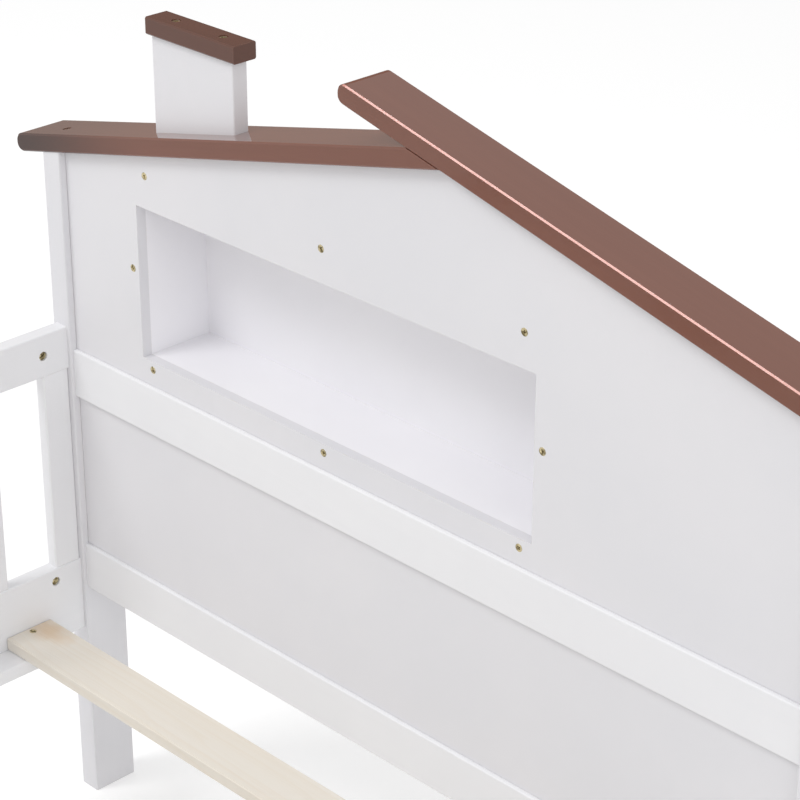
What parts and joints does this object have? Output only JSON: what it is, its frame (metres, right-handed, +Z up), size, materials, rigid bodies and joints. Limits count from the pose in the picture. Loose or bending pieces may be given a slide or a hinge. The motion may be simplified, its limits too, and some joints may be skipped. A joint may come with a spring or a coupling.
{
  "type": "house-shaped platform bed",
  "caption": "Child's platform bed whose headboard is a house gable with roof boards, chimney and display niche, with a slatted base and a picket guard fence along one side.",
  "frame": {"origin": "middle of the bed's bounding box at floor level", "axes": "+Y towards the headboard, +X towards the bed's right as seen from its foot, +Z up"},
  "size_m": [1.1426, 2.0976, 0.9977],
  "materials": {
    "white_paint": "satin white paint",
    "brown_paint": "semi-gloss brown paint",
    "bare_pine": "planed, unfinished",
    "yellow_zinc": "yellow zinc plated"
  },
  "bodies": {
    "root": {"head_post_left": "white_paint", "head_post_right": "white_paint", "head_lower_rail": "white_paint", "head_upper_rail": "white_paint", "headboard_lower_panel": "white_paint", "headboard_upper_panel": "white_paint", "niche_shelf": "white_paint", "niche_top_board": "white_paint", "niche_left_side": "white_paint", "niche_right_side": "white_paint", "niche_back_panel": "white_paint", "chimney_block": "white_paint", "side_rail_left": "white_paint", "side_rail_right": "white_paint", "ledger_left": "white_paint", "ledger_right": "white_paint", "guard_top_rail": "white_paint", "foot_post_left": "white_paint", "foot_post_right": "white_paint", "foot_lower_rail": "white_paint", "foot_upper_rail": "white_paint", "foot_panel": "white_paint", "guard_picket_01": "white_paint", "guard_picket_02": "white_paint", "guard_picket_03": "white_paint", "guard_picket_04": "white_paint", "guard_picket_05": "white_paint", "guard_picket_06": "white_paint", "guard_picket_07": "white_paint", "guard_picket_08": "white_paint", "guard_picket_09": "white_paint", "guard_picket_10": "white_paint", "guard_picket_11": "white_paint", "guard_picket_12": "white_paint", "guard_picket_13": "white_paint", "guard_picket_14": "white_paint", "guard_picket_15": "white_paint", "guard_picket_16": "white_paint", "guard_picket_17": "white_paint", "guard_picket_18": "white_paint", "guard_picket_19": "white_paint", "guard_picket_20": "white_paint", "roof_board_left": "brown_paint", "roof_board_right": "brown_paint", "chimney_cap": "brown_paint", "slat_1": "bare_pine", "slat_2": "bare_pine", "slat_3": "bare_pine", "slat_4": "bare_pine", "slat_5": "bare_pine", "slat_6": "bare_pine", "slat_7": "bare_pine", "slat_8": "bare_pine", "centre_beam": "bare_pine", "centre_leg": "bare_pine", "headboard_screws": "yellow_zinc", "frame_screws": "yellow_zinc", "side_rail_bolts": "yellow_zinc", "board_rail_bolts": "yellow_zinc", "barrel_nuts": "yellow_zinc"}
  },
  "joints": []
}
